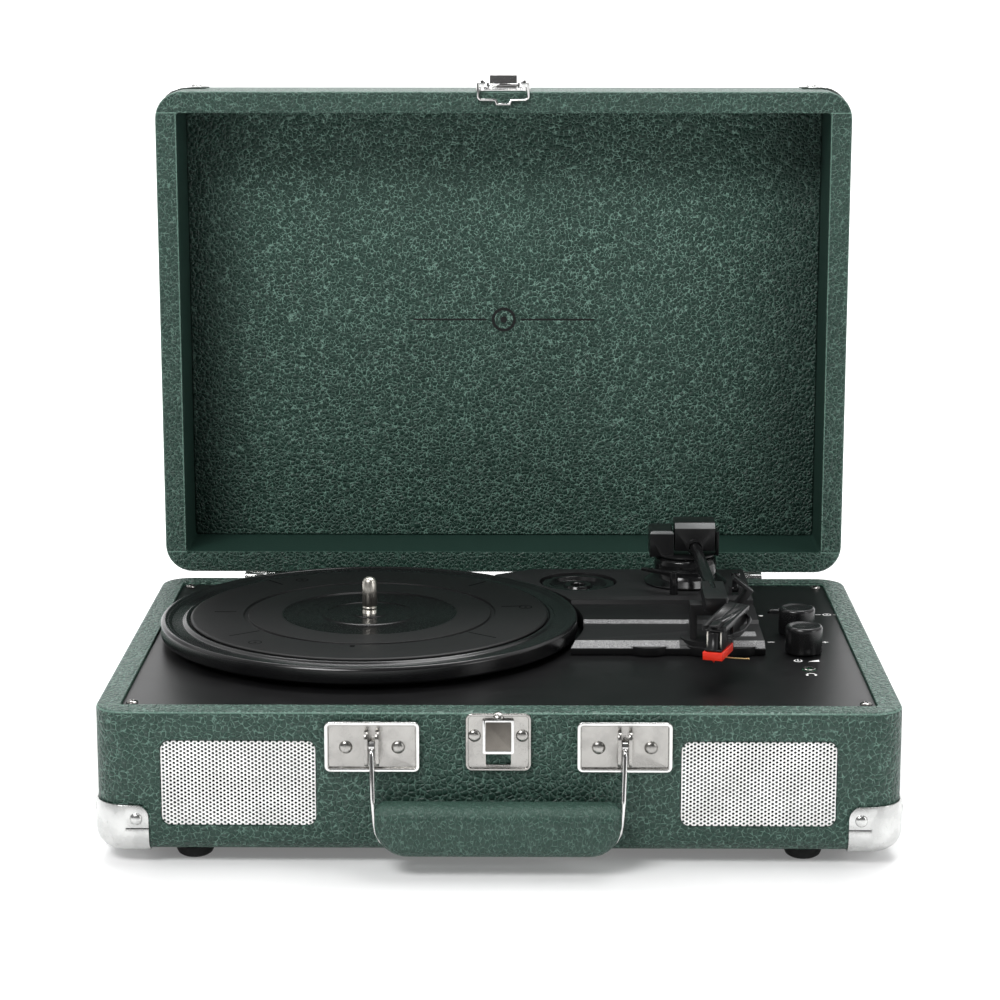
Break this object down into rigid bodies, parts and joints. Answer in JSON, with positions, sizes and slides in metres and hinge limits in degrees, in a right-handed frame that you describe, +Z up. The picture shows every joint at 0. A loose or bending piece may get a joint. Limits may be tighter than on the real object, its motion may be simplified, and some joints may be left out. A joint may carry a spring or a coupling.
{
  "type": "suitcase_record_player",
  "caption": "Portable suitcase record player with open hinged lid, leatherette case, metal corners, front grilles, carrying handle, belt-driven platter and tonearm",
  "frame": {"origin": "middle of the box that the whole object fills, on the surface that the feet stand on", "axes": "+X to the right seen from the front, +Y to the back, +Z up"},
  "size_m": [0.3562, 0.3182, 0.3334],
  "materials": {
    "leatherette": "dark green grained leatherette with a soft sheen",
    "chrome": "bright plated pressed metal, domed rivets",
    "black_plastic": "moulded black plastic, glossy on turned parts",
    "satin_black": "satin black sheet",
    "rubber": "soft matt black rubber",
    "nickel": "turned nickel-plated steel",
    "white_metal": "white painted sheet with fine round holes",
    "red_plastic": "translucent bright red stylus holder",
    "green_board": "solder-masked circuit board",
    "hardboard": "black-faced hardboard"
  },
  "bodies": {
    "case": {"adapter_45": "black_plastic", "arm_turret": "black_plastic", "base_bottom_panel": "hardboard", "base_corner_front_left": "chrome", "base_corner_front_right": "chrome", "base_corner_rear_left": "chrome", "base_corner_rear_right": "chrome", "base_shell": "leatherette", "catch_plate": "chrome", "circuit_board": "green_board", "deck_plate": "satin_black", "deck_screw_front_left": "nickel", "deck_screw_front_right": "nickel", "deck_screw_rear_left": "nickel", "deck_screw_rear_right": "nickel", "drive_belt": "rubber", "foot_front_left": "rubber", "foot_front_right": "rubber", "foot_rear_left": "rubber", "foot_rear_right": "rubber", "grille_left": "white_metal", "grille_right": "white_metal", "handle_bracket_left": "chrome", "handle_bracket_right": "chrome", "hinge_base_leaf_left": "chrome", "hinge_base_leaf_right": "chrome", "motor": "nickel", "player_module": "black_plastic", "rear_socket_panel": "black_plastic", "speaker_left": "satin_black", "speaker_right": "satin_black"},
    "lid": {"lid_shell": "leatherette", "lid_lining": "leatherette", "lid_corner_front_left": "chrome", "lid_corner_front_right": "chrome", "lid_corner_rear_left": "chrome", "lid_corner_rear_right": "chrome", "hinge_lid_leaf_left": "chrome", "hinge_lid_leaf_right": "chrome", "latch_plate": "chrome"},
    "latch_lever_body": {"latch_lever": "chrome"},
    "latch_bail_body": {"latch_bail": "chrome"},
    "handle": {"handle_bail": "chrome", "handle_grip": "leatherette"},
    "turntable": {"platter": "black_plastic", "slip_mat": "rubber", "spindle": "nickel"},
    "pulley": {"motor_pulley": "nickel"},
    "arm_base": {"arm_yoke": "black_plastic"},
    "arm": {"arm_block": "black_plastic", "arm_tube": "black_plastic", "headshell": "black_plastic", "cartridge": "black_plastic", "stylus": "red_plastic"},
    "clip": {"arm_clip": "black_plastic"},
    "cue": {"cue_lever": "black_plastic"},
    "lift": {"lift_platform": "nickel"},
    "volume": {"knob_volume": "black_plastic"},
    "selector": {"knob_selector": "black_plastic"},
    "slider": {"input_slider": "black_plastic"}
  },
  "joints": [
    {"name": "lid_hinge", "type": "hinge", "parent": "case", "child": "lid", "pos_m": [0, 0.1128, 0.07075], "axis": [1, 0, 0], "range_deg": [0, 90]},
    {"name": "latch_lever_turn", "type": "hinge", "parent": "lid", "child": "latch_lever_body", "pos_m": [0, 0.12135, 0.3252], "axis": [1, 0, 0], "range_deg": [-85, 0]},
    {"name": "latch_bail_swing", "type": "hinge", "parent": "lid", "child": "latch_bail_body", "pos_m": [0, 0.11175, 0.327], "axis": [1, 0, 0], "range_deg": [-90, 0]},
    {"name": "handle_swing", "type": "hinge", "parent": "case", "child": "handle", "pos_m": [0, -0.14295, 0.056], "axis": [1, 0, 0], "range_deg": [-110, 0]},
    {"name": "platter_spin", "type": "hinge", "parent": "case", "child": "turntable", "pos_m": [-0.0635, -0.00155, 0], "axis": [0, 0, 1], "continuous": true},
    {"name": "pulley_spin", "type": "hinge", "parent": "case", "child": "pulley", "pos_m": [-0.1205, 0.05545, 0], "axis": [0, 0, 1], "continuous": true},
    {"name": "arm_swing", "type": "hinge", "parent": "case", "child": "arm_base", "pos_m": [0.093, 0.07195, 0], "axis": [0, 0, 1], "range_deg": [-48, 0]},
    {"name": "arm_lift", "type": "hinge", "parent": "arm_base", "child": "arm", "pos_m": [0.093, 0.07395, 0.101], "axis": [1, 0, 0], "range_deg": [-12, 0]},
    {"name": "arm_clip_turn", "type": "hinge", "parent": "case", "child": "clip", "pos_m": [0.1076, -0.02705, 0.086], "axis": [0, -1, 0], "range_deg": [0, 38]},
    {"name": "cue_lever_turn", "type": "hinge", "parent": "case", "child": "cue", "pos_m": [0.1164, 0.04535, 0.0804], "axis": [1, 0, 0], "range_deg": [0, 60]},
    {"name": "lift_rise", "type": "slide", "parent": "case", "child": "lift", "axis": [0, 0, 1], "range_m": [0, 0.004]},
    {"name": "volume_turn", "type": "hinge", "parent": "case", "child": "volume", "pos_m": [0.143, -0.03325, 0], "axis": [0, 0, 1], "range_deg": [-270, 0]},
    {"name": "selector_turn", "type": "hinge", "parent": "case", "child": "selector", "pos_m": [0.143, 0.00195, 0], "axis": [0, 0, 1], "range_deg": [-30, 30]},
    {"name": "slider_travel", "type": "slide", "parent": "case", "child": "slider", "axis": [1, 0, 0], "range_m": [0, 0.007]}
  ],
  "couplings": [
    {"joint": "pulley_spin", "follows": "platter_spin", "ratio": 15},
    {"joint": "latch_bail_swing", "follows": "lid_hinge", "ratio": -1},
    {"joint": "cue_lever_turn", "follows": "lift_rise", "rad_per_m": 261.8}
  ]
}
